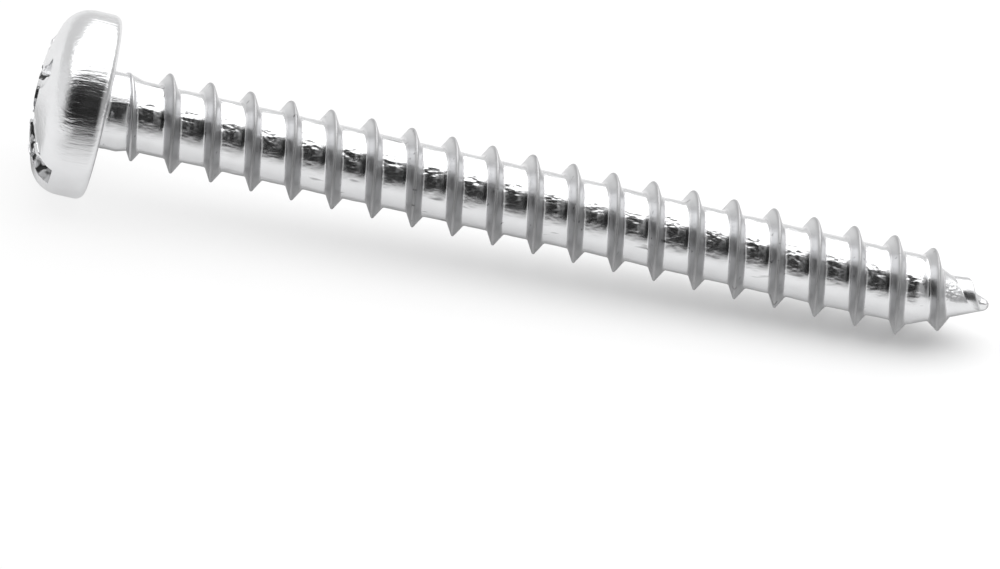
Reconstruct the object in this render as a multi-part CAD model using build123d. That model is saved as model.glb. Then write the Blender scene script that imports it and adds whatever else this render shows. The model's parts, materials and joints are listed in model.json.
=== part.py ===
from build123d import *
import math
import os

os.makedirs("parts", exist_ok=True)

# Sheet metal screw with a pan head, a spaced right-hand thread and a gimlet point.
# Sizes are in millimetres. The screw is drawn upright on the Z axis, with the face
# under its head at height 0, the head below and the point above, and then laid down.
# Angles around the axis start at the side that lies on the ground.

# Shank
length = 50.8
neck_diameter = 4.4
neck_length = 1.2
neck_taper = 0.7
neck_fillet = 0.3
root_diameter = 3.98

# Thread, with 11 turns in an inch
pitch = 2.309
major_diameter = 5.45
flank_angle = 30.0
root_fillet = 0.12
crest_angle_at_face = -2.0
thread_start = 0.5
thread_start_height = 0.2
full_thread_start = 3.0

# Point
point_half_angle = 22.8
nose_radius = 0.35
thread_fade_length = 1.6
thread_end_gap = 0.1
flank_spread_length = 2.5
spread_flank_angle = 72.0

# Head
head_diameter = 10.5
head_height = 3.9
dome_radius = 12.0
shoulder_radius = 1.8
rim_chamfer = 0.25

# Drive: a slot right across the head, and a cross recess along it
drive_angle = 120.0
slot_width = 1.5
slot_depth = 1.7
recess_diameter = 6.6
recess_half_angle = 26.5
recess_wing_width = 1.1
recess_wing_draft = 2.0
recess_web_diameter = 3.1
recess_web_draft = 10.0
recess_floor_diameter = 3.8
recess_floor_angle = 28.0

# How the model is drawn: flats for the thread's curves, and overlaps where solids join
steps_per_turn = 24
nose_rings = 3
fillet_share_of_low_ridge = 0.4
smallest_area = 1e-9
core_sunk_depth = 0.3
cutter_clearance = 1.0

neck_radius = neck_diameter / 2
root_radius = root_diameter / 2
head_radius = head_diameter / 2
full_height = (major_diameter - root_diameter) / 2
flank_slope = math.tan(math.radians(flank_angle))
spread_slope = math.tan(math.radians(spread_flank_angle))
point_slope = math.tan(math.radians(point_half_angle))
point_sine = math.sin(math.radians(point_half_angle))
nose_centre = length - nose_radius
cone_apex = nose_centre + nose_radius / point_sine
thread_end = nose_centre + nose_radius * point_sine - thread_end_gap


def on_profile(radius, height):
    """A point of an outline that is turned about the axis."""
    return Vector(radius, 0, height)


def straight_runs(corners):
    """Straight edges from each corner to the next."""
    return [Edge.make_line(a, b) for a, b in zip(corners, corners[1:])]


def dome_height(radius):
    """How far the dome of the head stands beyond the face under the head."""
    return head_height - dome_radius + math.sqrt(dome_radius**2 - radius**2)


def head_outline():
    """The outline of the head, from the top of its dome to the fillet at the neck."""
    shoulder_centre = head_radius - shoulder_radius
    reach = dome_radius - shoulder_radius
    rise = math.sqrt(reach**2 - shoulder_centre**2)
    band_top = head_height - dome_radius + rise
    join = shoulder_centre * dome_radius / reach
    turn = (math.pi / 2 + math.atan2(shoulder_centre, rise)) / 2
    shoulder_middle = on_profile(
        shoulder_centre + shoulder_radius * math.sin(turn),
        -band_top - shoulder_radius * math.cos(turn),
    )
    corners = [
        on_profile(head_radius, -band_top),
        on_profile(head_radius, -rim_chamfer),
        on_profile(head_radius - rim_chamfer, 0),
        on_profile(neck_radius + neck_fillet, 0),
    ]
    return [
        Edge.make_three_point_arc(
            on_profile(0, -head_height),
            on_profile(join / 2, -dome_height(join / 2)),
            on_profile(join, -dome_height(join)),
        ),
        Edge.make_three_point_arc(
            on_profile(join, -dome_height(join)), shoulder_middle, corners[0]
        ),
        *straight_runs(corners),
    ]


def neck_outline():
    """The outline of the neck, from its fillet to the end of its taper inside the root."""
    middle = neck_fillet * (1 - math.sqrt(0.5))
    taper_slope = (neck_radius - root_radius) / neck_taper
    taper_end = neck_length + neck_taper + core_sunk_depth / taper_slope
    corners = [
        on_profile(neck_radius, neck_fillet),
        on_profile(neck_radius, neck_length),
        on_profile(root_radius - core_sunk_depth, taper_end),
        on_profile(0, taper_end),
    ]
    fillet = Edge.make_three_point_arc(
        on_profile(neck_radius + neck_fillet, 0),
        on_profile(neck_radius + middle, middle),
        corners[0],
    )
    return [fillet, *straight_runs(corners)]


def headed_neck():
    """The head and the neck, turned about the axis."""
    neck = neck_outline()
    axis_line = Edge.make_line(neck[-1] @ 1, on_profile(0, -head_height))
    outline = Wire([*head_outline(), *neck, axis_line])
    return Solid.revolve(Face(outline), 360, Axis.Z)


def root_at(height):
    """The radius of the root surface, on the cylinder and the cone of the point."""
    return min(root_radius, (cone_apex - height) * point_slope)


def crest_at(step):
    """The height of the crest after some of the even steps around the axis."""
    return pitch * (step / steps_per_turn - crest_angle_at_face / 360)


def around(step, radius, height):
    """A point at one of the even steps around the axis."""
    angle = 2 * math.pi * step / steps_per_turn
    return Vector(radius * math.cos(angle), radius * math.sin(angle), height)


def ring(step, radius, height):
    """Points right round the axis, from this step back to it."""
    return [around(step + k, radius, height) for k in range(steps_per_turn + 1)]


def nose_ring(step, share):
    """A ring on the round nose, from where it meets the cone to its tip."""
    angle = math.radians(point_half_angle + (90 - point_half_angle) * share)
    return ring(step, nose_radius * math.cos(angle), nose_centre + nose_radius * math.sin(angle))


def ridge_height(height):
    """How far the thread stands out: it grows below the head and dies at the point."""
    grown = (height - thread_start) / (full_thread_start - thread_start)
    growing = thread_start_height + (full_height - thread_start_height) * grown
    fading = full_height * (thread_end - height) / thread_fade_length
    return min(full_height, growing, fading)


def back_slope(height):
    """How far the ridge's head side leans back, more and more as the thread dies."""
    share = 1 - (thread_end - height) / flank_spread_length
    return flank_slope + max(0, share) * (spread_slope - flank_slope)


def ridge_section(step):
    """The ridge cut along the axis: toe, knee, crest, knee and toe, head side first."""
    height = crest_at(step)
    tall = ridge_height(height)
    back = back_slope(height)
    fillet_height = root_fillet * math.cos(math.radians(flank_angle))
    knee_height = min(fillet_height, fillet_share_of_low_ridge * tall)
    back_knee = (tall - knee_height) * back
    back_toe = back_knee + knee_height * max(back, 1 / flank_slope)
    knee = (tall - knee_height) * flank_slope
    toe = knee + knee_height / flank_slope
    return [
        around(step, root_at(height - back_toe), height - back_toe),
        around(step, root_at(height - back_knee) + knee_height, height - back_knee),
        around(step, root_at(height) + tall, height),
        around(step, root_at(height + knee) + knee_height, height + knee),
        around(step, root_at(height + toe), height + toe),
    ]


def facets(first, second):
    """Triangles between two rows of points, passing over those with no area."""
    faces = []
    for a, b, c, d in zip(first, first[1:], second, second[1:]):
        for p, q, r in ((a, b, c), (b, d, c)):
            if (q - p).cross(r - p).length > smallest_area:
                faces.append(Face(Wire.make_polygon([p, q, r], close=True)))
    return faces


def thread():
    """The threaded root and its point, as flats between rows that wind round the axis.

    The five rows of the ridge start at one point and end at one point. Where a winding
    row meets a ring, it comes back round above its own end, and that one corner of the
    strip is taken in two steps.
    """
    turn = steps_per_turn
    first = math.ceil((thread_start / pitch + crest_angle_at_face / 360) * turn)
    last = math.floor((thread_end / pitch + crest_angle_at_face / 360) * turn)
    start = around(first, root_radius, crest_at(first))
    end = around(last, root_at(crest_at(last)), crest_at(last))
    sections = [ridge_section(step) for step in range(first + 1, last)]
    rows = [[start, *row, end] for row in zip(*sections)]
    lower = rows[0]
    upper = rows[-1]
    foot_height = crest_at(first) - core_sunk_depth
    foot = ring(first, root_radius, foot_height)
    nose = [nose_ring(last, k / nose_rings) for k in range(nose_rings + 1)]
    strips = [
        (ring(first, 0, foot_height), foot),
        ([*foot, start], [*lower[:turn], *lower[turn - 1 : turn + 1]]),
        *zip(rows, rows[1:]),
        (upper[:-turn], lower[turn:]),
        ([*upper[-turn - 1 : 1 - turn], *upper[-turn:]], [end, *nose[0]]),
        *zip(nose, nose[1:]),
    ]
    return Solid(Shell([face for strip in strips for face in facets(*strip)]))


def slot():
    """The cutter for the slot, a straight bar across the head with a flat floor."""
    depth = slot_depth + cutter_clearance
    bar = Solid.make_box(head_diameter + 2 * cutter_clearance, slot_width, depth)
    return bar.moved(
        Location(
            (-head_radius - cutter_clearance, -slot_width / 2, -head_height - cutter_clearance)
        )
    )


def recess_cone(diameter, draft, mouth, floor):
    """A cone of this diameter at the mouth of the recess, narrowing to its floor."""
    slope = math.tan(math.radians(draft))
    top = mouth + cutter_clearance
    wide = diameter / 2 + cutter_clearance * slope
    narrow = diameter / 2 - (mouth - floor) * slope
    floor_depth = narrow * math.tan(math.radians(recess_floor_angle))
    outline = Wire.make_polygon(
        [
            on_profile(0, -top),
            on_profile(wide, -top),
            on_profile(narrow, -floor),
            on_profile(0, -floor + floor_depth),
        ],
        close=True,
    )
    return Solid.revolve(Face(outline), 360, Axis.Z)


def recess_wing(mouth, depth):
    """A bar across the recess, narrowing with depth, for one pair of its wings."""
    slope = math.tan(math.radians(recess_wing_draft))
    top = recess_wing_width / 2 + cutter_clearance * slope
    bottom = recess_wing_width / 2 - depth * slope
    outline = Wire.make_polygon(
        [
            Vector(-recess_diameter, -top, -mouth - cutter_clearance),
            Vector(-recess_diameter, top, -mouth - cutter_clearance),
            Vector(-recess_diameter, bottom, -mouth + depth),
            Vector(-recess_diameter, -bottom, -mouth + depth),
        ],
        close=True,
    )
    return Solid.extrude(Face(outline), Vector(2 * recess_diameter, 0, 0))


def recess():
    """The cutter for the cross recess: two crossed wings in a cone, around a round web."""
    mouth = dome_height(recess_diameter / 2)
    drop = (recess_diameter - recess_floor_diameter) / 2
    floor = mouth - drop / math.tan(math.radians(recess_half_angle))
    tip = recess_floor_diameter / 2 * math.tan(math.radians(recess_floor_angle))
    wing = recess_wing(mouth, mouth - floor + tip)
    envelope = recess_cone(recess_diameter, recess_half_angle, mouth, floor)
    web = recess_cone(recess_web_diameter, recess_web_draft, mouth, floor)
    wings = wing + wing.rotate(Axis.Z, 90)
    return (wings & envelope) + web


def ground_tilt():
    """How far the point dips when the rim of the head and a crest touch the ground."""
    lean = []
    for turn in range(1, math.floor(thread_end / pitch)):
        height = crest_at(turn * steps_per_turn)
        below = head_radius - root_at(height) - ridge_height(height)
        lean.append(math.atan2(below, height + rim_chamfer))
    return math.degrees(min(lean))


def lie_down(screw):
    """Lays the screw on the ground, point towards +X, its box centred on the origin."""
    laid = screw.rotate(Axis.Y, 90 + ground_tilt())
    box = laid.bounding_box()
    return laid.moved(Location((-box.center().X, 0, -box.min.Z)))


def screw():
    """The whole screw, one piece."""
    drive = (slot() + recess()).rotate(Axis.Z, drive_angle)
    return lie_down(headed_neck() + thread() - drive)


export_step(screw(), "parts/screw.step")
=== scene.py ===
import json
import math

import bmesh
import bpy
from mathutils import Matrix, Vector, noise


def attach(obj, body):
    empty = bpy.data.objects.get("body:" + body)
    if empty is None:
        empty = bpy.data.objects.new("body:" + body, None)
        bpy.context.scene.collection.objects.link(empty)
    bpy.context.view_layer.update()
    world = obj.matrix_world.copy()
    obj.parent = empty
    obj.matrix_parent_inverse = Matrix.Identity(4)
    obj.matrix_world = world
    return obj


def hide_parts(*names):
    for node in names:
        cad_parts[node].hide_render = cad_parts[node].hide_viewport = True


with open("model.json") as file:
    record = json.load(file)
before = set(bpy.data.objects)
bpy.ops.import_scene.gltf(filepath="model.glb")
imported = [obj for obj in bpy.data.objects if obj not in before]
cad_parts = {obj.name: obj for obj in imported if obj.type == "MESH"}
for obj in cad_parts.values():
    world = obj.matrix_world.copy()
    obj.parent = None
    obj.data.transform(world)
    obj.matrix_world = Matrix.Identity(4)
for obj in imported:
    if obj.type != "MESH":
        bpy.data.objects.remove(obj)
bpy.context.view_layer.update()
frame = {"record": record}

# A sheet metal screw that lies on a pale floor. Sizes are in millimetres and angles in
# degrees. The screw has its own frame: Z runs along its axis, with the face under the head
# at height 0, the head below and the point above, and X points to the side that lies on the
# ground. The floor, the lamps and the camera have the row's frame, with Z up.

MM = 0.001

# Shank
length = 50.8
neck_radius = 2.2
neck_length = 1.2
neck_taper = 0.7
neck_fillet = 0.3
neck_ring_height = 0.4
root_radius = 1.99

# Thread
pitch = 2.309
full_height = 0.735
flank_angle = 30.0
crest_radius = 0.08
root_fillet = 0.16
crest_angle_at_face = -2.0
thread_start = 0.5
thread_start_height = 0.2
full_thread_start = 3.0

# Largest crest radius and root fillet of a low ridge, as shares of its height
crest_radius_share = 0.3
root_fillet_share = 0.6

# Point
point_half_angle = 22.8
nose_radius = 0.35
thread_fade_length = 1.6
thread_end_gap = 0.1
flank_spread_length = 2.5
spread_flank_angle = 72.0

# Head
head_radius = 5.25
head_height = 3.9
dome_radius = 12.0
shoulder_radius = 1.8
rim_radius = 0.5

# Drive
drive_angle = 120.0
slot_width = 1.5
slot_depth = 1.7
recess_radius = 3.3
recess_half_angle = 26.5
recess_wing_width = 1.1
recess_wing_draft = 2.0
recess_web_radius = 1.55
recess_web_draft = 10.0
recess_floor_radius = 1.9
recess_floor_angle = 28.0

# Torn lips of the drive, with how far from the axis they start and end
lip_width = 0.2
lip_height = 0.17
lip_reach = 0.14
lip_foot_depth = 0.05
lip_root_depth = 0.12
lip_root_gap = 0.02
lip_wave = 0.42
lip_step = 0.06
lip_end_slope = 6
lip_middle = 0.45
lip_swing = 1.5
lowest_lip = 0.12
lip_seed_spread = 7.3
lip_seed_height = 0.5
lip_seed_apart = 3
lip_ceiling_slope = 0.07
slot_lip_span = (1.5, 4.75)
wing_lip_span = (1.75, 3.1)

# Uneven rolled surface
waviness = 0.035
wave_length = 1.1
ripple = 0.008
ripple_length = 0.9
ripple_stretch = 3

# Steps of the mesh
steps_per_turn = 120
crest_steps = 2
flank_steps = 5
fillet_steps = 3
root_steps = 3
arc_steps = 6
flat_steps = 8
dome_steps = 14
cutter_steps = 96
cutter_clearance = 1.0
cutter_offset = 0.01
sharp_angle = 35.0

# Marks for the material: where ridges and crests start, which side is worn, and which side's
# ridges get painted shade
ridge_foot = 0.03
ridge_blend = 0.12
crest_foot_share = 0.75
crest_blend_share = 0.15
shank_blend = 2.0
worn_side = 225.0
worn_spread = 16
# The ridges that face this side get painted shade
painted_shade_angle = 264.0
painted_shade_spread = 6
wall_lean = 0.1
wall_gap = 0.01

# How far the screw's axis dips towards the point, as it lies
screw_dip = 3.112

# Grain of the zinc plate: stretch along the screw and across it, scale, detail, roughness
# and distortion
plate_grain = {
    "mottle": ((0.5, 1.0, 1.0), 3.7, 1.0, 0.5, 0.0),
    "streaks": ((0.4, 2.6, 2.6), 1.7, 3.0, 0.6, 0.2),
    "patches": ((1.0, 1.0, 1.0), 0.8, 2.0, 0.55, 0.0),
    "torn": ((1.0, 1.0, 1.0), 1.5, 1.5, 0.55, 0.4),
    "dashes": ((0.4, 2.2, 2.2), 1.25, 1.0, 0.5, 0.3),
}

# Bumps of the zinc plate. The half of each root just beyond a crest, towards the point, lies
# behind that crest, and it fades out between these shares of a pitch.
bump_height = 0.03
behind_ends = (0.72, 0.52)
dents_ahead = 0.4
dents_behind = 3.6
dents_unworn = 0.2
streaks_on_shank = 0.15
torn_depth = 12.0

# Roughness of the zinc plate, where the last four are added to the first two
root_roughness = 0.2
ridge_roughness = 0.28
wall_roughness = 0.3
patch_roughness = 0.06
behind_roughness = 0.03
crest_roughness = 0.22

# Greys of the zinc plate, and the levels of the grain between which dashes and tears change
root_grey = 0.84
ridge_grey = 0.69
# Painted shade: the ridges on one side are darkened to this grey
painted_shade_ridge_grey = 0.5
# The crests are darkened by this share: painted shade that dims the bright line they reflect
crest_painted_shade = 0.8
dash_shade = 0.3
dash_levels = (0.7, 0.8111)
# Torn patches on the slot walls: near-black painted shade and near-white painted highlight
torn_shade_and_highlight_greys = (0.08, 0.97)
torn_levels = (0.4071, 0.4786)
patch_shade = 0.09
plate_tint = (0.995, 0.998, 1.01)
wall_metal = 0.1
plate_edge_grey = 0.92

# Floor, with how much of its own light the camera and the metal see in place of its shadow
floor_half_width = 3000.0
floor_grey = 0.95
floor_roughness = 0.9
lift_at_head = 0.82
lift_at_point = 0.22
lift_ends = (-25.0, 25.0)
lift_mirrored = 0.6
full_lift_in_front = (-30.0, -80.0)

# Greys of the floor as the metal sees it, by place across the screw, with a painted shadow under
# the screw and painted shade far in front, and white beside it
mirrored_reach = 30.0
mirrored_floor_with_painted_shadow = (
    (-24.0, 0.15), (-8.0, 1.0), (-1.5, 1.0), (0.6, 0.2), (7.0, 0.2), (9.5, 1.0),
)
white_beside = (29.0, 39.0)

# Room: greys from front to back and from left to right, by share of the way
room_depth = ((0.2, 0.008), (0.75, 0.74))
room_sides = ((0.05, 0.85), (0.17, 0.0), (0.6, 0.0), (0.78, 0.4))

# Lamps
panel_radiance = 1.5
overhead_place = (-20.0, 30.0, 350.0)
overhead_size = (850.0, 340.0)
overhead_turn = 0.0
rear_place = (120.0, 330.0, 350.0)
rear_size = (500.0, 500.0)
rear_turn = -30.0

# Camera
camera_elevation = 30.0
camera_turn = 3.3
camera_roll = 11.5
camera_distance = 1200.0
camera_aim = (0.0973, -2.7053, 0.0)
picture_width = 55.8
sensor_width = 36.0

# Shapes that follow from these sizes
flank_slope = math.tan(math.radians(flank_angle))
spread_slope = math.tan(math.radians(spread_flank_angle))
point_slope = math.tan(math.radians(point_half_angle))
point_sine = math.sin(math.radians(point_half_angle))
crest_turn_at_face = crest_angle_at_face / 360
nose_centre = length - nose_radius
nose_height = nose_centre + nose_radius * point_sine
nose_join_radius = nose_radius * math.cos(math.radians(point_half_angle))
cone_apex = nose_centre + nose_radius / point_sine
thread_end = nose_height - thread_end_gap
shoulder_centre = head_radius - shoulder_radius
shoulder_reach = dome_radius - shoulder_radius
shoulder_rise = math.sqrt(shoulder_reach**2 - shoulder_centre**2)
band_top = head_height - dome_radius + shoulder_rise
dome_join = shoulder_centre * dome_radius / shoulder_reach


def root_at(height):
    """The radius of the root surface, on the cylinder and the cone of the point."""
    return min(root_radius, (cone_apex - height) * point_slope)


def neck_at(height):
    """The radius of the neck and of its taper, which goes on down to nothing."""
    if height < neck_length:
        return neck_radius
    left = 1 - (height - neck_length) / neck_taper
    return root_radius + (neck_radius - root_radius) * left


def ridge_height(height):
    """How far the thread stands out: it grows below the head and dies at the point."""
    grown = (height - thread_start) / (full_thread_start - thread_start)
    growing = thread_start_height + (full_height - thread_start_height) * grown
    fading = full_height * (thread_end - height) / thread_fade_length
    return max(0.0, min(full_height, growing, fading))


def back_slope(height):
    """How far the ridge's head side leans back, more and more as the thread dies."""
    share = 1 - (thread_end - height) / flank_spread_length
    return flank_slope + max(0.0, share) * (spread_slope - flank_slope)


def shares(count):
    """Even shares from 0 to 1, in this many steps."""
    return [i / count for i in range(count + 1)]


def ridge_side(tall, slope):
    """One side of a ridge's section: (distance from its crest along the axis, height) pairs."""
    lean = math.atan(slope)
    bend = math.pi / 2 - lean
    tip = min(crest_radius, crest_radius_share * tall)
    fillet = min(root_fillet, root_fillet_share * tall)
    peak = tall - tip + tip / math.sin(lean)
    foot = peak * slope
    run = fillet * math.tan(bend / 2)
    rise = run * math.cos(lean)
    near = foot - run * math.sin(lean)
    pairs = []
    for share in shares(crest_steps):
        turned = share * bend
        pairs.append((tip * math.sin(turned), tall - tip + tip * math.cos(turned)))
    across, high = pairs[-1]
    for share in shares(flank_steps)[1:-1]:
        pairs.append((across + (near - across) * share, high + (rise - high) * share))
    for share in shares(fillet_steps):
        turned = bend * (1 - share)
        pairs.append((foot + run - fillet * math.sin(turned), fillet * (1 - math.cos(turned))))
    end = pairs[-1][0]
    for share in shares(root_steps)[1:]:
        pairs.append((end + (pitch / 2 - end) * share, 0.0))
    return pairs


def crest_at(step):
    """The height of the crest after some of the even steps around the axis."""
    return pitch * (step / steps_per_turn - crest_turn_at_face)


class Builder:
    """Gathers points and faces, with each shared point kept once."""

    def __init__(self):
        self.points = []
        self.places = {}
        self.faces = []

    def point(self, key, angle, radius, height):
        if key not in self.places:
            self.places[key] = len(self.points)
            x, y = radius * math.cos(angle), radius * math.sin(angle)
            self.points.append(Vector((x, y, height)))
        return self.places[key]

    def face(self, *corners):
        kept = [c for i, c in enumerate(corners) if c != corners[i - 1]]
        if len(set(kept)) > 2:
            self.faces.append(kept)


def unevenness(around, height):
    """How far the rolled surface stands out at a place around the axis."""
    spot = around / wave_length + Vector((0, 0, height / wave_length))
    fine = around / ripple_length + Vector((0, 0, ripple_stretch * height / ripple_length))
    return waviness * noise.noise(spot) + ripple * noise.noise(fine)


def shank_point(build, step, place, offset, tall):
    """A point of the threaded shank, held between the rings at the neck and at the nose."""
    height = crest_at(step) + offset
    angle = 2 * math.pi * step / steps_per_turn
    if height <= neck_ring_height:
        key = ("neck", step % steps_per_turn)
        return build.point(key, angle, neck_radius, neck_ring_height)
    if height >= nose_height:
        key = ("nose", step % steps_per_turn)
        return build.point(key, angle, nose_join_radius, nose_height)
    radius = max(root_at(height) + tall, neck_at(height))
    around = Vector((math.cos(angle), math.sin(angle), 0)) * radius
    return build.point((step, place), angle, radius + unevenness(around, height), height)


def add_shank(build):
    """The threaded shank, as a ribbon that winds round the axis, one pitch wide."""
    lowest = neck_ring_height / pitch - 0.5 + crest_turn_at_face
    highest = nose_height / pitch + 0.5 + crest_turn_at_face
    first = math.floor(lowest * steps_per_turn)
    last = math.ceil(highest * steps_per_turn)
    columns = []
    for step in range(first, last + 1):
        height = crest_at(step)
        tall = ridge_height(height)
        headward = ridge_side(tall, back_slope(height))
        section = [(-across, rise) for across, rise in reversed(headward)]
        section += ridge_side(tall, flank_slope)[1:]
        column = []
        for row, (offset, rise) in enumerate(section[:-1]):
            column.append(shank_point(build, step, row, offset, rise))
        offset, rise = section[-1]
        column.append(shank_point(build, step + steps_per_turn, 0, offset - pitch, rise))
        columns.append(column)
    for near, far in zip(columns, columns[1:]):
        for row in range(len(near) - 1):
            build.face(near[row], far[row], far[row + 1], near[row + 1])


def ring_of(build, name, radius, height, steps=steps_per_turn):
    """A ring of points round the axis."""
    turns = [2 * math.pi * step / steps for step in range(steps)]
    return [build.point((name, i), angle, radius, height) for i, angle in enumerate(turns)]


def join_rings(build, lower, upper):
    """Faces between a ring and the one above it."""
    for i, (a, b) in enumerate(zip(lower, upper)):
        build.face(lower[i - 1], a, b, upper[i - 1])


def close_above(build, ring, tip):
    """Faces from a ring to a point above it on the axis."""
    for i, a in enumerate(ring):
        build.face(ring[i - 1], a, tip)


def close_below(build, ring, tip):
    """Faces from a ring to a point below it on the axis."""
    for i, a in enumerate(ring):
        build.face(a, ring[i - 1], tip)


def dome_height(radius):
    """How far the dome of the head stands beyond the face under the head."""
    return head_height - dome_radius + math.sqrt(dome_radius**2 - radius**2)


def head_top(radius):
    """How far the top of the head stands beyond the face under it, on dome and shoulder."""
    if radius < dome_join:
        return dome_height(radius)
    left = max(0.0, shoulder_radius**2 - (radius - shoulder_centre) ** 2)
    return band_top + math.sqrt(left)


def arc(radius, height, size, first, last, count):
    """Points of an arc about a centre, by angle from the outward direction."""
    angles = [math.radians(first + (last - first) * i / count) for i in range(count + 1)]
    return [(radius + size * math.cos(a), height + size * math.sin(a)) for a in angles]


def head_profile():
    """The outline of the head as (radius, height) pairs, from the neck to the dome."""
    lean = math.degrees(math.atan2(shoulder_rise, shoulder_centre))
    under = head_radius - rim_radius
    band = band_top - rim_radius
    pairs = arc(neck_radius + neck_fillet, neck_fillet, neck_fillet, 180, 270, arc_steps)
    start = pairs[-1][0]
    pairs += [(start + (under - start) * i / flat_steps, 0.0) for i in range(1, flat_steps)]
    pairs += arc(under, -rim_radius, rim_radius, 90, 0, arc_steps)
    pairs += [(head_radius, -rim_radius - band * i / flat_steps) for i in range(1, flat_steps)]
    pairs += arc(shoulder_centre, -band_top, shoulder_radius, 0, -lean, dome_steps)
    spans = [dome_join * (1 - i / dome_steps) for i in range(1, dome_steps)]
    pairs += [(span, -dome_height(span)) for span in spans]
    return pairs


def add_head(build):
    """The head, from the ring at the neck down to the top of the dome."""
    upper = ring_of(build, "neck", neck_radius, neck_ring_height)
    for i, (radius, height) in enumerate(head_profile()):
        lower = ring_of(build, ("head", i), radius, height)
        join_rings(build, lower, upper)
        upper = lower
    close_below(build, upper, build.point("dome", 0, 0, -head_height))


def add_nose(build):
    """The round nose, from its ring up to the tip."""
    lower = ring_of(build, "nose", nose_join_radius, nose_height)
    profile = arc(0, nose_centre, nose_radius, point_half_angle, 90, arc_steps)
    for i, (radius, height) in enumerate(profile[1:-1]):
        upper = ring_of(build, ("tip", i), radius, height)
        join_rings(build, lower, upper)
        lower = upper
    close_above(build, lower, build.point("tip", 0, 0, length))


def metres(*sizes):
    """Sizes in metres."""
    return [size * MM for size in sizes]


def mesh_object(name, points, faces):
    """An object made of these points and faces."""
    mesh = bpy.data.meshes.new(name)
    mesh.from_pydata(points, [], faces)
    mesh.update()
    made = bpy.data.objects.new(name, mesh)
    bpy.context.scene.collection.objects.link(made)
    return made


def turned_solid(name, pairs):
    """A solid turned about the axis from (radius, height) pairs that rise from it and back."""
    build = Builder()
    rings = [
        ring_of(build, i, radius, height, cutter_steps)
        for i, (radius, height) in enumerate(pairs[1:-1])
    ]
    for lower, upper in zip(rings, rings[1:]):
        join_rings(build, lower, upper)
    close_below(build, rings[0], build.point("first", 0, 0, pairs[0][1]))
    close_above(build, rings[-1], build.point("last", 0, 0, pairs[-1][1]))
    return mesh_object(name, build.points, build.faces)


def bar(name, half_top, half_bottom, reach, top, bottom):
    """A bar across the head, with half its width at its top and at its bottom."""
    points = []
    for x in (-reach, reach):
        points += [(x, -half_top, top), (x, half_top, top)]
        points += [(x, half_bottom, bottom), (x, -half_bottom, bottom)]
    faces = [(0, 1, 2, 3), (7, 6, 5, 4), (0, 4, 5, 1), (1, 5, 6, 2), (2, 6, 7, 3), (3, 7, 4, 0)]
    return mesh_object(name, points, faces)


def cut(target, other, how):
    """Applies one exact boolean and removes the other solid."""
    step = target.modifiers.new(how, "BOOLEAN")
    step.operation = how
    step.solver = "EXACT"
    step.object = other
    graph = bpy.context.evaluated_depsgraph_get()
    made = bpy.data.meshes.new_from_object(target.evaluated_get(graph))
    target.modifiers.clear()
    old = target.data
    target.data = made
    bpy.data.meshes.remove(old)
    bpy.data.objects.remove(other)


def recess_cone(name, radius, draft, mouth, floor_at):
    """A cone of this radius at the mouth of the recess, narrowing to its floor."""
    slope = math.tan(math.radians(draft))
    narrow = radius - (mouth - floor_at) * slope
    floor_depth = narrow * math.tan(math.radians(recess_floor_angle))
    top = -mouth - cutter_clearance
    wide = radius + cutter_clearance * slope
    return turned_solid(
        name, [(0, top), (wide, top), (narrow, -floor_at), (0, -floor_at + floor_depth)]
    )


def recess_cutter():
    """The cross recess as one solid: two drafted wings in a cone, and a web between them."""
    mouth = dome_height(recess_radius)
    narrowing = recess_radius - recess_floor_radius
    floor_at = mouth - narrowing / math.tan(math.radians(recess_half_angle))
    tip = recess_floor_radius * math.tan(math.radians(recess_floor_angle))
    slope = math.tan(math.radians(recess_wing_draft))
    depth = mouth - floor_at + tip
    wide = recess_wing_width / 2 + cutter_clearance * slope
    narrow = recess_wing_width / 2 - depth * slope
    reach = 2 * recess_radius
    top = -mouth - cutter_clearance
    made = bar("wing", wide, narrow, reach, top, -mouth + depth)
    other = bar("wing_across", wide, narrow, reach, top - cutter_offset, -mouth + depth)
    other.data.transform(Matrix.Rotation(math.pi / 2, 4, "Z"))
    cut(made, other, "UNION")
    envelope = recess_cone("envelope", recess_radius, recess_half_angle, mouth, floor_at)
    cut(made, envelope, "INTERSECT")
    web = recess_cone("web", recess_web_radius, recess_web_draft, mouth, floor_at)
    cut(made, web, "UNION")
    return made


def drive_cutter():
    """The slot and the cross recess as one solid, turned to the drive's angle."""
    made = recess_cutter()
    half = slot_width / 2
    reach = head_radius + cutter_clearance
    top = -head_height - cutter_clearance
    slot = bar("slot", half, half, reach, top, -head_height + slot_depth)
    cut(made, slot, "UNION")
    made.data.transform(Matrix.Rotation(math.radians(drive_angle), 4, "Z"))
    return made


def lip_share(seed, least):
    """A share between the least one and 1 that wanders along an edge."""
    return min(1.0, max(least, lip_middle + lip_swing * noise.noise(seed)))


def lip_section(tall, reach):
    """A lip's section as (distance from the edge, rise) pairs, from its foot over its top."""
    return [
        (lip_width, -lip_foot_depth),
        (0.6 * lip_width, 0.3 * tall),
        (0.2 * lip_width, 0.9 * tall),
        (-0.5 * reach, tall),
        (-reach, 0.6 * tall),
        (-0.7 * reach, 0.1 * tall),
        (lip_root_gap, -lip_root_depth),
    ]


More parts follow.
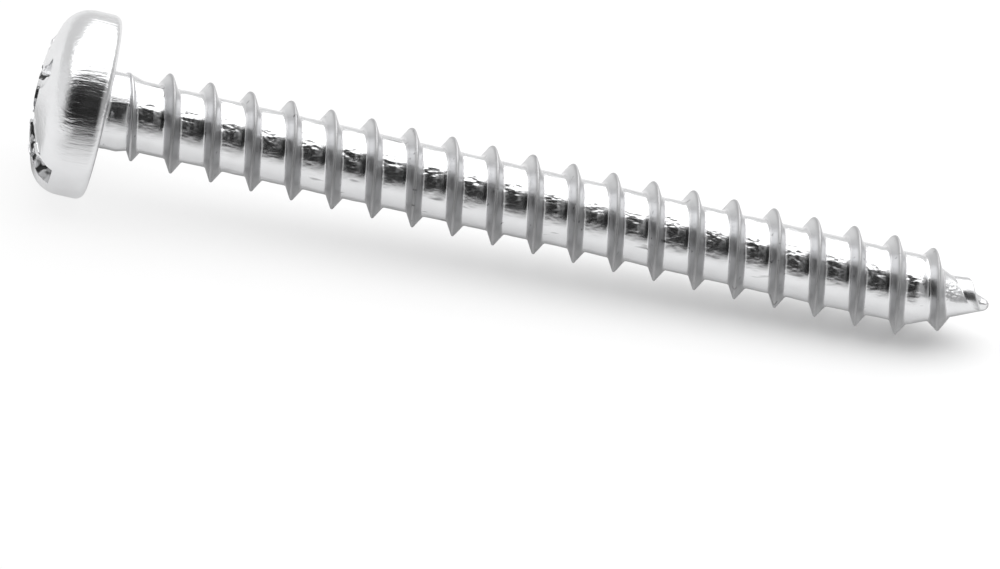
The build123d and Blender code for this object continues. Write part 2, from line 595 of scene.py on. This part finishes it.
def add_lip(build, angle, half_width, first, last):
    """A torn lip pushed up along one edge of a slot that runs out at this angle."""
    outward = Vector((math.cos(angle), math.sin(angle), 0))
    sideways = Vector((-math.sin(angle), math.cos(angle), 0)) * math.copysign(1, half_width)
    count = math.ceil((last - first) / lip_step)
    rings = []
    for i in range(count + 1):
        along = first + (last - first) * i / count
        seed = Vector((along / lip_wave, lip_seed_spread * half_width + angle, lip_seed_height))
        other_seed = seed + Vector((0, 0, lip_seed_apart))
        ends = min(1.0, lip_end_slope * min(i, count - i) / count)
        tall = ends * lip_height * lip_share(seed, lowest_lip)
        reach = ends * lip_reach * lip_share(other_seed, 0.0)
        ring = []
        for away, rise in lip_section(tall, reach):
            spot = outward * along + sideways * (abs(half_width) + away)
            ceiling = head_height - lip_ceiling_slope * spot.length
            height = min(ceiling, head_top(spot.length) + rise)
            ring.append(len(build.points))
            build.points.append(Vector((spot.x, spot.y, -height)))
        rings.append(ring)
    for low, high in zip(rings, rings[1:]):
        for i, (a, b) in enumerate(zip(low, high)):
            build.faces.append((low[i - 1], a, b, high[i - 1]))
    build.faces.append(tuple(rings[0]))
    build.faces.append(tuple(reversed(rings[-1])))


def turn_outwards(mesh):
    """Turns all faces of a mesh to face out."""
    shell = bmesh.new()
    shell.from_mesh(mesh)
    bmesh.ops.recalc_face_normals(shell, faces=shell.faces)
    shell.to_mesh(mesh)
    shell.free()


def drive_lips():
    """The torn lips along the edges of the slot and of the wings across it."""
    build = Builder()
    turned_by = math.radians(drive_angle)
    for side in (0, math.pi):
        for sign in (-1, 1):
            add_lip(build, turned_by + side + math.pi, sign * slot_width / 2, *slot_lip_span)
            wing = turned_by + side + math.pi / 2
            add_lip(build, wing, sign * recess_wing_width / 2, *wing_lip_span)
    made = mesh_object("drive_lips", build.points, build.faces)
    turn_outwards(made.data)
    made.data.transform(row_frame())
    made.data.shade_smooth()
    return made


def row_frame():
    """The matrix from the screw's own frame, in millimetres, to the row's, in metres."""
    face = next(m for m in frame["record"]["mounts"] if m["name"] == "bearing_face")
    axis = Vector(face["axis"])
    ground = Vector((axis.z, 0, -axis.x))
    across = Vector((0, 1, 0))
    turn = Matrix((ground, across, axis)).transposed().to_4x4()
    return Matrix.Translation(Vector(face["pos_m"])) @ turn @ Matrix.Scale(MM, 4)


def screw_body():
    """The whole screw as one mesh, with its drive cut in, where the CAD model lies."""
    build = Builder()
    add_shank(build)
    add_head(build)
    add_nose(build)
    body = mesh_object("screw_body", build.points, build.faces)
    cut(body, drive_cutter(), "DIFFERENCE")
    mark_surface(body.data)
    body.data.transform(row_frame())
    body.data.shade_smooth()
    body.data.set_sharp_from_angle(angle=math.radians(sharp_angle))
    return body


def held(value):
    """A value held between 0 and 1."""
    return min(1.0, max(0.0, value))


def facing(angle, side, spread):
    """How much a place at this angle around the axis faces one side, from 0 to 1."""
    return max(0.0, math.cos(angle - math.radians(side))) ** spread


mark_names = ("ridge", "across", "shank", "worn", "painted_shade_side", "crest")


def surface_marks(place):
    """How much a point of the screw has of each mark, and its place across the thread."""
    if place.z <= neck_ring_height:
        return (0.0,) * len(mark_names)
    angle = math.atan2(place.y, place.x)
    turns = place.z / pitch - angle / (2 * math.pi) + crest_turn_at_face
    above = math.hypot(place.x, place.y) - max(root_at(place.z), neck_at(place.z))
    return (
        held((above - ridge_foot) / ridge_blend),
        turns % 1.0,
        held((place.z - neck_ring_height) / shank_blend),
        facing(angle, worn_side, worn_spread),
        # painted shade on the ridges of one side
        facing(angle, painted_shade_angle, painted_shade_spread),
        held((above / full_height - crest_foot_share) / crest_blend_share),
    )


def on_slot_wall(face):
    """Whether a face is part of the slot's two walls."""
    turned_by = math.radians(drive_angle)
    middle = face.center
    aside = abs(middle.y * math.cos(turned_by) - middle.x * math.sin(turned_by))
    upright = middle.z < -slot_depth and abs(face.normal.z) < wall_lean
    return upright and abs(aside - slot_width / 2) < wall_gap


def mark_surface(mesh):
    """Stores the surface marks on the mesh, for its material."""
    marks = [surface_marks(vertex.co) for vertex in mesh.vertices]
    for name, values in zip(mark_names, zip(*marks)):
        mesh.attributes.new(name, "FLOAT", "POINT").data.foreach_set("value", values)
    walls = [float(on_slot_wall(face)) for face in mesh.polygons]
    mesh.attributes.new("slot_wall", "FLOAT", "FACE").data.foreach_set("value", walls)


def plain_grey(level):
    """The colour of a grey of this level."""
    return (level, level, level, 1)


class Nodes:
    """Short ways to build the node tree of a material or of the room."""

    def __init__(self, owner):
        owner.use_nodes = True
        self.tree = owner.node_tree

    def add(self, kind, **settings):
        node = self.tree.nodes.new(kind)
        for key, value in settings.items():
            setattr(node, key, value)
        return node

    def link(self, source, target):
        self.tree.links.new(source, target)

    def feed(self, sockets, values):
        """Sets each socket to its value, or links it."""
        for socket, value in zip(sockets, values):
            if isinstance(value, (int, float)):
                socket.default_value = value
            else:
                self.link(value, socket)

    def math(self, how, *values, clamp=False):
        node = self.add("ShaderNodeMath", operation=how, use_clamp=clamp)
        self.feed(node.inputs, values)
        return node.outputs[0]

    def product(self, first, *others):
        for other in others:
            first = self.math("MULTIPLY", first, other)
        return first

    def total(self, first, *others):
        for other in others:
            first = self.math("ADD", first, other)
        return first

    def between(self, value, start, end):
        """How far a value is on its way from the start, as 0, to the end, as 1."""
        gain = 1 / (end - start)
        return self.math("MULTIPLY_ADD", value, gain, -start * gain, clamp=True)

    def blend(self, share, first, second):
        node = self.add("ShaderNodeMix", data_type="FLOAT")
        self.feed(node.inputs[0:1] + node.inputs[2:4], (share, first, second))
        return node.outputs[0]

    def ramp(self, value, stops):
        """A grey that follows (share, grey) pairs as a value goes from 0 to 1."""
        node = self.add("ShaderNodeValToRGB")
        self.link(value, node.inputs[0])
        elements = node.color_ramp.elements
        elements.remove(elements[1])
        for index, (share, grey) in enumerate(stops):
            stop = elements[0] if index == 0 else elements.new(share)
            stop.position = share
            stop.color = plain_grey(grey)
        return node.outputs[0]

    def split(self, vector):
        """The X, Y and Z of a vector."""
        node = self.add("ShaderNodeSeparateXYZ")
        self.link(vector, node.inputs[0])
        return node.outputs

    def attribute(self, name):
        return self.add("ShaderNodeAttribute", attribute_name=name).outputs["Fac"]

    def noise(self, stretch, *settings):
        """Noise over the object in millimetres, along the screw and across it, stretched."""
        mapping = self.add("ShaderNodeMapping")
        mapping.inputs["Rotation"].default_value = (0, math.radians(-screw_dip), 0)
        mapping.inputs["Scale"].default_value = [s / MM for s in stretch]
        where = self.add("ShaderNodeTexCoord").outputs["Object"]
        self.link(where, mapping.inputs["Vector"])
        node = self.add("ShaderNodeTexNoise")
        self.link(mapping.outputs["Vector"], node.inputs["Vector"])
        names = ("Scale", "Detail", "Roughness", "Distortion")
        self.feed([node.inputs[name] for name in names], settings)
        return node.outputs["Fac"]


def plate_normal(plate, marks, grain):
    """Dents on the root, drawn streaks on the head and tears in the slot's walls."""
    dents = plate.product(
        plate.blend(marks["behind"], dents_ahead, dents_behind),
        plate.math("SUBTRACT", 1.0, marks["ridge"]),
        marks["shank"],
        plate.blend(marks["worn"], dents_unworn, 1.0),
        grain["mottle"],
    )
    drawn = plate.product(grain["streaks"], plate.blend(marks["shank"], 1.0, streaks_on_shank))
    tears = plate.product(marks["slot_wall"], torn_depth, grain["torn"])
    bump = plate.add("ShaderNodeBump")
    bump.inputs["Strength"].default_value = 1.0
    bump.inputs["Distance"].default_value = bump_height * MM
    plate.link(plate.total(dents, drawn, tears), bump.inputs["Height"])
    return bump.outputs["Normal"]


def plate_roughness(plate, marks, grain):
    """Smooth on the root, duller on the ridges and dullest on the crests and slot walls."""
    return plate.total(
        plate.blend(marks["ridge"], root_roughness, ridge_roughness),
        plate.product(marks["slot_wall"], wall_roughness),
        plate.product(grain["patches"], patch_roughness),
        plate.product(marks["behind"], marks["shank"], behind_roughness),
        plate.product(marks["crest"], crest_roughness),
    )


def plate_colour(plate, marks, grain):
    """A nearly neutral grey, darker on the ridges and in short dashes, with painted shade on one
    side's ridges and on the crests, and painted shade and highlights on the slot walls.
    """
    # Painted shade: the ridges on one side are darker
    ridges = plate.blend(marks["painted_shade_side"], ridge_grey, painted_shade_ridge_grey)
    dashes = plate.between(grain["dashes"], *dash_levels)
    shade = plate.product(
        plate.blend(marks["ridge"], root_grey, ridges),
        # painted shade on the crests, which dims the bright line they reflect
        plate.blend(marks["crest"], 1.0, crest_painted_shade),
        plate.blend(plate.product(dashes, marks["shank"]), 1.0, dash_shade),
    )
    # Painted shade and painted highlight on the slot walls, in torn patches
    torn = plate.blend(plate.between(grain["torn"], *torn_levels), *torn_shade_and_highlight_greys)
    shade = plate.blend(marks["slot_wall"], shade, torn)
    shade = plate.math("SUBTRACT", shade, plate.product(grain["patches"], patch_shade))
    colour = plate.add("ShaderNodeCombineColor")
    for channel, tint in zip(colour.inputs, plate_tint):
        plate.link(plate.product(shade, tint), channel)
    return colour.outputs[0]


def zinc():
    """Bright zinc plate over steel, smooth on the root and duller on the rolled ridges."""
    material = bpy.data.materials.new("zinc_plate")
    plate = Nodes(material)
    marks = {name: plate.attribute(name) for name in (*mark_names, "slot_wall")}
    marks["behind"] = plate.between(marks["across"], *behind_ends)
    grain = {name: plate.noise(*settings) for name, settings in plate_grain.items()}
    shader = plate.tree.nodes["Principled BSDF"].inputs
    plate.link(plate_normal(plate, marks, grain), shader["Normal"])
    plate.link(plate_roughness(plate, marks, grain), shader["Roughness"])
    plate.link(plate_colour(plate, marks, grain), shader["Base Color"])
    plate.link(plate.blend(marks["slot_wall"], 1.0, wall_metal), shader["Metallic"])
    shader["Specular Tint"].default_value = plain_grey(plate_edge_grey)
    return material


def mirrored_grey(paint, place):
    """The floor's grey in the metal: a painted shadow under the screw, painted shade far in
    front, and white beside it.
    """
    stops = [(0.5 + 0.5 * across / mirrored_reach, grey) for across, grey in mirrored_floor_with_painted_shadow]
    near = paint.between(place["Y"], *metres(-mirrored_reach, mirrored_reach))
    beside = paint.between(paint.math("ABSOLUTE", place["X"]), *metres(*white_beside))
    return paint.math("MAXIMUM", paint.ramp(near, stops), beside)


def lifted_share(paint, place, path):
    """How much of its own light the floor shows: to the camera less and less to the point."""
    to_point = paint.between(place["X"], *metres(*lift_ends))
    in_front = paint.between(place["Y"], *metres(*full_lift_in_front))
    seen = paint.blend(to_point, lift_at_head, lift_at_point)
    mirrored = paint.blend(in_front, lift_mirrored, 1.0)
    return paint.math(
        "MAXIMUM",
        paint.product(path["Is Camera Ray"], seen),
        paint.product(path["Is Glossy Ray"], mirrored),
    )


def floor_paint():
    """A white paint that the camera and the metal see a good deal lighter than its shadow is."""
    material = bpy.data.materials.new("pale_floor")
    paint = Nodes(material)
    path = paint.add("ShaderNodeLightPath").outputs
    place = paint.split(paint.add("ShaderNodeNewGeometry").outputs["Position"])
    shader = paint.tree.nodes["Principled BSDF"]
    shader.inputs["Base Color"].default_value = plain_grey(floor_grey)
    shader.inputs["Roughness"].default_value = floor_roughness
    shader.inputs["Specular IOR Level"].default_value = 0.0
    glow = paint.add("ShaderNodeEmission")
    strength = paint.math("MAXIMUM", mirrored_grey(paint, place), path["Is Camera Ray"])
    paint.link(strength, glow.inputs["Strength"])
    mixed = paint.add("ShaderNodeMixShader")
    lifted = lifted_share(paint, place, path)
    paint.feed(mixed.inputs, (lifted, shader.outputs[0], glow.outputs[0]))
    paint.link(mixed.outputs[0], paint.tree.nodes["Material Output"].inputs["Surface"])
    return material


def floor():
    """A wide flat floor under the screw."""
    side = floor_half_width * MM
    corners = [(-side, -side, 0), (side, -side, 0), (side, side, 0), (-side, side, 0)]
    made = mesh_object("floor", corners, [(0, 1, 2, 3)])
    made.data.materials.append(floor_paint())


def panel(name, place, size, turn):
    """A soft flat lamp that faces down, turned about the vertical."""
    width, depth = metres(*size)
    lamp = bpy.data.lights.new(name, "AREA")
    lamp.shape = "RECTANGLE"
    lamp.size = width
    lamp.size_y = depth
    lamp.energy = panel_radiance * math.pi * width * depth
    made = bpy.data.objects.new(name, lamp)
    made.location = metres(*place)
    made.rotation_euler.z = math.radians(turn)
    bpy.context.scene.collection.objects.link(made)


def room():
    """The room around: pale behind and at the far left, grey at the right, dark in front."""
    world = bpy.data.worlds.new("room")
    walls = Nodes(world)
    walls.tree.nodes.clear()
    where = walls.split(walls.add("ShaderNodeTexCoord").outputs["Generated"])
    depth = walls.ramp(walls.between(where["Y"], -1, 1), room_depth)
    sides = walls.ramp(walls.between(where["X"], -1, 1), room_sides)
    back = walls.add("ShaderNodeBackground")
    out = walls.add("ShaderNodeOutputWorld")
    walls.link(walls.math("MAXIMUM", depth, sides), back.inputs["Color"])
    walls.link(back.outputs[0], out.inputs["Surface"])
    bpy.context.scene.world = world


def studio():
    """Two soft panels overhead, the rear one askew, in a room that is dark in front."""
    panel("overhead", overhead_place, overhead_size, overhead_turn)
    panel("behind", rear_place, rear_size, rear_turn)
    room()


def camera():
    """A long lens that looks down on the screw from the front, a little rolled."""
    lens = bpy.data.cameras.new("camera")
    lens.sensor_width = sensor_width
    lens.lens = sensor_width * camera_distance / picture_width
    made = bpy.data.objects.new("camera", lens)
    tilt = Matrix.Rotation(math.radians(90 - camera_elevation), 4, "X")
    roll = Matrix.Rotation(math.radians(camera_roll), 4, "Z")
    around = Matrix.Rotation(math.radians(-camera_turn), 4, "Z")
    turn = around @ tilt @ roll
    away = turn.to_3x3() @ Vector((0, 0, camera_distance * MM))
    made.matrix_world = Matrix.Translation(Vector(metres(*camera_aim)) + away) @ turn
    bpy.context.scene.collection.objects.link(made)
    bpy.context.scene.camera = made


body = screw_body()
lips = drive_lips()
plating = zinc()
for piece in (body, lips):
    piece.data.materials.append(plating)
    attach(piece, "root")
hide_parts("screw")
floor()
studio()
camera()
bpy.context.scene.view_settings.view_transform = "Standard"
